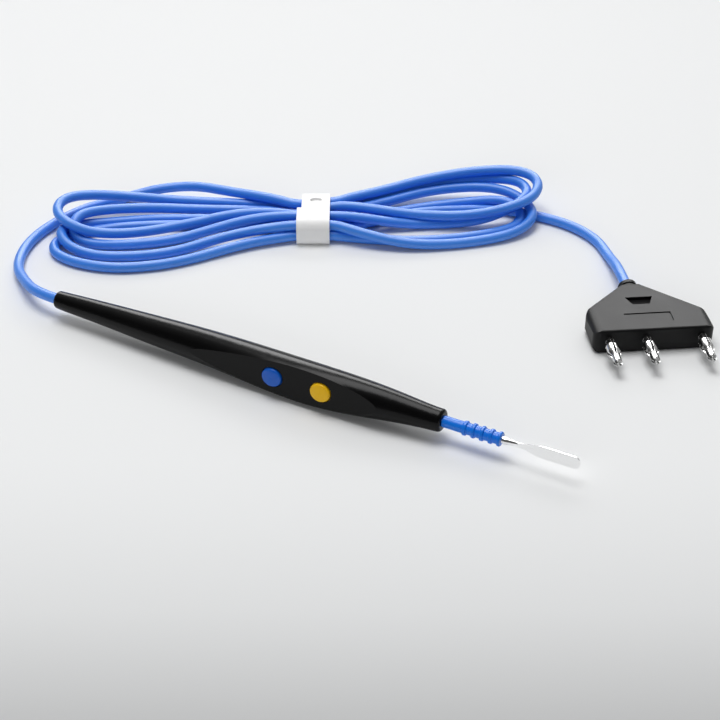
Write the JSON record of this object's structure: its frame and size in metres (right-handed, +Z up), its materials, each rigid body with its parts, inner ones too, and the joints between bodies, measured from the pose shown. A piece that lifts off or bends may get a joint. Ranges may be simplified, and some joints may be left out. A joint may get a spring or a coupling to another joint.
{
  "type": "electrosurgical pencil",
  "caption": "Slim pen-shaped surgical handle with push buttons, a flat blade electrode, and a strapped hank of cable that ends in a flat pin plug.",
  "frame": {"origin": "centre of the pencil's footprint, on the surface that it lies on; the cable and plug are left out of that", "axes": "+X along the pencil from its cable end to the blade tip, +Z up, and the buttons look to -Y and a little up"},
  "size_m": [0.2585, 0.1783, 0.0141],
  "materials": {
    "handle_black": "satin",
    "plug_black": "satin",
    "cable_blue": "satin",
    "hub_blue": "gloss",
    "button_yellow": "satin",
    "button_blue": "satin",
    "blade_steel": "satin",
    "pin_metal": "gloss",
    "cage_metal": "gloss",
    "socket_brass": "satin",
    "dome_steel": "satin",
    "board_green": "matte",
    "strap_white": "satin",
    "collar_nylon": "matte",
    "lead_red": "satin",
    "lead_white": "satin",
    "lead_black": "satin"
  },
  "bodies": {
    "pencil": {"upper_shell": "handle_black", "lower_shell": "handle_black", "switch_board": "board_green", "cut_dome": "dome_steel", "coag_dome": "dome_steel", "cut_lead": "lead_red", "coag_lead": "lead_white", "active_lead": "lead_black", "jacket_collar": "collar_nylon", "jacket_end": "cable_blue", "electrode_socket": "socket_brass", "plug_base": "plug_black", "plug_cover": "plug_black", "plug_clamp": "collar_nylon", "plug_jacket_end": "cable_blue", "cable_hank": "cable_blue", "cable_strap": "strap_white", "cable_pencil_end": "cable_blue", "cable_plug_end": "cable_blue", "plug_pin_1": "pin_metal", "pin_cage_1": "cage_metal", "plug_lead_1": "lead_red", "plug_pin_2": "pin_metal", "pin_cage_2": "cage_metal", "plug_lead_2": "lead_white", "plug_pin_3": "pin_metal", "pin_cage_3": "cage_metal", "plug_lead_3": "lead_black"},
    "cut_key": {"cut_button": "button_yellow"},
    "coag_key": {"coag_button": "button_blue"},
    "electrode": {"electrode_blade": "blade_steel", "electrode_hub": "hub_blue"}
  },
  "joints": [
    {"name": "cut_press", "type": "slide", "parent": "pencil", "child": "cut_key", "axis": [0, 0.9877, -0.1564], "range_m": [0, 0.0006], "stiffness_N_per_m": 1500},
    {"name": "coag_press", "type": "slide", "parent": "pencil", "child": "coag_key", "axis": [0, 0.9877, -0.1564], "range_m": [0, 0.0006], "stiffness_N_per_m": 1500},
    {"name": "electrode_pull", "type": "slide", "parent": "pencil", "child": "electrode", "axis": [1, 0, 0], "range_m": [0, 0.021]}
  ]
}
